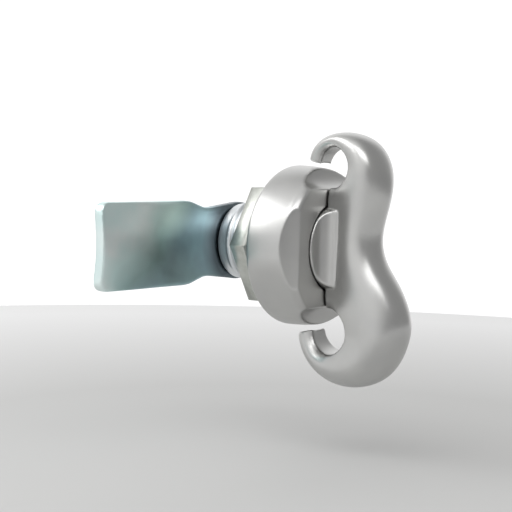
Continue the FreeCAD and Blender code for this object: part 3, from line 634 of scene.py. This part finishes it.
make_thread()

# %% [markdown]
# ## Nut: the hexagon and its chamfer
#
# A nut starts as hexagonal bar. Here a hexagon as large as the CAD nut is extruded to its thickness,
# and the edges of its front face are bevelled for the chamfer that faces the washer.

# %% Nut blank
NUT_SIDES = 6
NUT_CHAMFER_MM = 0.9
LIE_ALONG_Y = Matrix.Rotation(math.radians(-90), 4, "X")
FLATS_UP = Matrix.Rotation(math.radians(90), 4, "Z")


def nut_blank():
    low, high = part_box("hex_nut")
    corner = high[2] / math.cos(math.pi / NUT_SIDES)
    mesh = bmesh.new()
    bmesh.ops.create_circle(mesh, cap_ends=True, segments=NUT_SIDES, radius=corner,
                            matrix=Matrix.Translation((0, high[1], 0)) @ LIE_ALONG_Y @ FLATS_UP)
    grown = bmesh.ops.extrude_face_region(mesh, geom=mesh.faces[:])
    front = [item for item in grown["geom"] if isinstance(item, bmesh.types.BMVert)]
    bmesh.ops.translate(mesh, verts=front, vec=(0, low[1] - high[1], 0))
    bmesh.ops.recalc_face_normals(mesh, faces=mesh.faces)
    front_face = min(mesh.faces, key=lambda item: item.calc_center_median().y)
    bmesh.ops.bevel(mesh, geom=list(front_face.edges), offset=NUT_CHAMFER_MM * MM, segments=1,
                    profile=0.5, affect="EDGES", material=-1)
    print("nut:", round(2 * high[2] / MM, 1), "mm across flats")
    return new_piece("hex_nut_skin", mesh)


# %% [markdown]
# ## Nut: the bore and the broken edges
#
# The bore is cut with a cylinder that reaches past both faces, because a Boolean leaves slivers
# where faces lie in one plane. Last, a narrow bevel breaks every edge. A real nut has such edges, and
# they are what catches the light on the plate.

# %% Nut
NUT_PLAY_MM = 0.05
NUT_EDGE_MM = 0.18
NUT_EDGE_SEGMENTS = 2
NUT_EDGE_DEGREES = 25
BORE_STEPS = 72
DRILL_LENGTH = 3


def cut_bore(piece):
    """Drills the nut. The drill is DRILL_LENGTH times as long as the nut is thick."""
    low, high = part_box("hex_nut")
    radius = (BARREL_RADIUS_MM + NUT_PLAY_MM) * MM
    mesh = bmesh.new()
    bmesh.ops.create_cone(mesh, cap_ends=True, segments=BORE_STEPS, radius1=radius, radius2=radius,
                          depth=(high[1] - low[1]) * DRILL_LENGTH,
                          matrix=Matrix.Translation((0, (low[1] + high[1]) / 2, 0)) @ LIE_ALONG_Y)
    drill = new_piece("nut_drill", mesh)
    hole = piece.modifiers.new("bore", "BOOLEAN")
    hole.operation = "DIFFERENCE"
    hole.object = drill
    hole.solver = "EXACT"
    apply_modifiers(piece)
    bpy.data.objects.remove(drill)


def break_edges(piece):
    edge = piece.modifiers.new("edge", "BEVEL")
    edge.width = NUT_EDGE_MM * MM
    edge.segments = NUT_EDGE_SEGMENTS
    edge.limit_method = "ANGLE"
    edge.angle_limit = math.radians(NUT_EDGE_DEGREES)
    edge.harden_normals = True
    apply_modifiers(piece)


nut = nut_blank()
cut_bore(nut)
break_edges(nut)
finish_piece(nut, "housing", "bright_zinc", bright_zinc, "hex_nut")

# %% [markdown]
# ## Pieces kept from the CAD model
#
# Washers, bushes, seals, the spindle and the bolt already have the right shape, so their CAD nodes
# stay and only get a material. Their meshes are left alone.

# %% Kept pieces
KEPT_PIECES = (
    (rubber, ("flange_gasket", "spindle_o_ring", "hub_o_ring")),
    (nylon, ("thrust_washer",)),
    (bronze, ("front_bush", "rear_bush")),
    (turned_steel, ("seat_washer", "spindle", "spindle_pin", "stop_disc")),
    (spring_steel, ("disc_spring", "retaining_clip")),
    (bright_zinc, ("toothed_washer", "cam_flat_washer", "cam_spring_washer", "cam_bolt")),
)
for material, names in KEPT_PIECES:
    for name in names:
        nodes[name].data.materials.clear()
        nodes[name].data.materials.append(material)
    print(material.name + ":", ", ".join(names))

# %% [markdown]
# ## Floor
#
# The photograph has a plain white ground, without an edge or a horizon. A pale disc stands in for it.
# It is painted a little darker near the latch, a painted shade that the metal mirrors, and nearly
# white at its rim, so that its edge is faint against the wall. It lies one millimetre under the lowest
# place that the cam's end reaches when the latch is open, so the open latch clears it. That depth is
# the cam's reach in the frame.

# %% Floor
FLOOR_DROP_MM = 1.0
FLOOR_RADIUS_MM = 320
FLOOR_SIDES = 128
FLOOR_NEAR_MM = 110
FLOOR_FAR_MM = 290
# the painted shade on the floor near the latch, fading to near white at the rim
FLOOR_SHADE_TINT = "#C9C9C8"
FLOOR_FAR_TINT = "#FAFAFA"
FLOOR_ROUGHNESS = 0.9


def pale_floor_painted_shade():
    """Matt board with a painted shade, darker near the origin than at the rim."""
    material, tree, place = start_material("pale_floor_painted_shade")
    out = add(tree, "ShaderNodeVectorMath", place, operation="LENGTH")
    far = add(tree, "ShaderNodeMapRange", Value=out, From_Min=FLOOR_NEAR_MM * MM,
              From_Max=FLOOR_FAR_MM * MM)
    tint = add(tree, "ShaderNodeMix", data_type="RGBA", Factor=far, A=colour(FLOOR_SHADE_TINT),
               B=colour(FLOOR_FAR_TINT))
    close_material(tree, Base_Color=tint, Roughness=FLOOR_ROUGHNESS)
    return material


def make_floor():
    cam_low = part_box("cam")[0]
    level = cam_low[0] - FLOOR_DROP_MM * MM
    mesh = bmesh.new()
    bmesh.ops.create_circle(mesh, cap_ends=True, segments=FLOOR_SIDES, radius=FLOOR_RADIUS_MM * MM,
                            matrix=Matrix.Translation((0, 0, level)))
    floor = new_piece("floor", mesh)
    floor.data.materials.append(pale_floor_painted_shade())
    print("floor:", round(level / MM, 1), "mm")


make_floor()

# %% [markdown]
# ## Room
#
# Metal shows what stands round it, so the room matters as much as the material. A grey room is
# brighter high up behind the cam, and a white wall stands behind the latch as seen from the camera.
# Each of these is a zone: a direction, with a gain that rises smoothly towards it. The camera, the
# metal and the floor all see the same room.

# %% Room
ROOM_LEVEL = 0.37
WHITE_WALL = Vector((0.787, 0.617, 0.0))
BRIGHT_CORNER = Vector((-0.70, 0.40, 0.59))
# each zone: where it lies, its gain, and the cosines at which it starts and is full
ROOM_ZONES = (
    (Vector((0, 0, 1)), 0.02, 0.0, 1.0),
    (BRIGHT_CORNER, 0.58, 0.2, 0.95),
    (WHITE_WALL, 0.75, 0.45, 0.85),
)


def make_room():
    world = bpy.data.worlds.new("studio")
    bpy.context.scene.world = world
    world.use_nodes = True
    tree = world.node_tree
    tree.nodes.clear()
    way = add(tree, "ShaderNodeTexCoord").outputs["Generated"]
    level = ROOM_LEVEL
    for side, gain, start, full in ROOM_ZONES:
        facing = add(tree, "ShaderNodeVectorMath", way, side, operation="DOT_PRODUCT")
        part = add(tree, "ShaderNodeMapRange", Value=facing, From_Min=start, From_Max=full,
                   To_Min=0.0, To_Max=gain, interpolation_type="SMOOTHSTEP")
        level = add(tree, "ShaderNodeMath", part, level, operation="ADD")
    room = add(tree, "ShaderNodeBackground", Color=(1, 1, 1, 1), Strength=level)
    add(tree, "ShaderNodeOutputWorld", Surface=room)
    print("room:", len(ROOM_ZONES), "zones")


make_room()

# %% [markdown]
# ## Softboxes
#
# Two large soft lamps light the latch from the cam's side, one high behind and a wider one high in
# front. A large lamp close by gives a broad sheen on satin metal, where a small one would give hard
# spots. The lamps share one brightness per area, so their strength follows from their size.

# %% Softboxes
LAMP_DISTANCE_MM = 450
LAMP_RADIANCE = 2.0


def softbox(name, heading, height, wide_mm, tall_mm):
    """An area light that faces the latch from a compass heading and a height, both in degrees."""
    turn = math.radians(heading)
    rise = math.radians(height)
    data = bpy.data.lights.new(name, "AREA")
    data.shape = "RECTANGLE"
    data.size = wide_mm * MM
    data.size_y = tall_mm * MM
    data.energy = LAMP_RADIANCE * math.pi * data.size * data.size_y
    way = Vector((math.cos(rise) * math.cos(turn), math.cos(rise) * math.sin(turn), math.sin(rise)))
    light = put_in_scene(name, data)
    light.location = way * LAMP_DISTANCE_MM * MM
    light.rotation_euler = (-light.location).to_track_quat("-Z", "Y").to_euler()
    print(name + ":", round(data.energy, 3), "W")


softbox("side_softbox", heading=130, height=36, wide_mm=320, tall_mm=250)
softbox("front_softbox", heading=-152, height=48, wide_mm=500, tall_mm=190)
bpy.context.scene.view_settings.view_transform = "Standard"
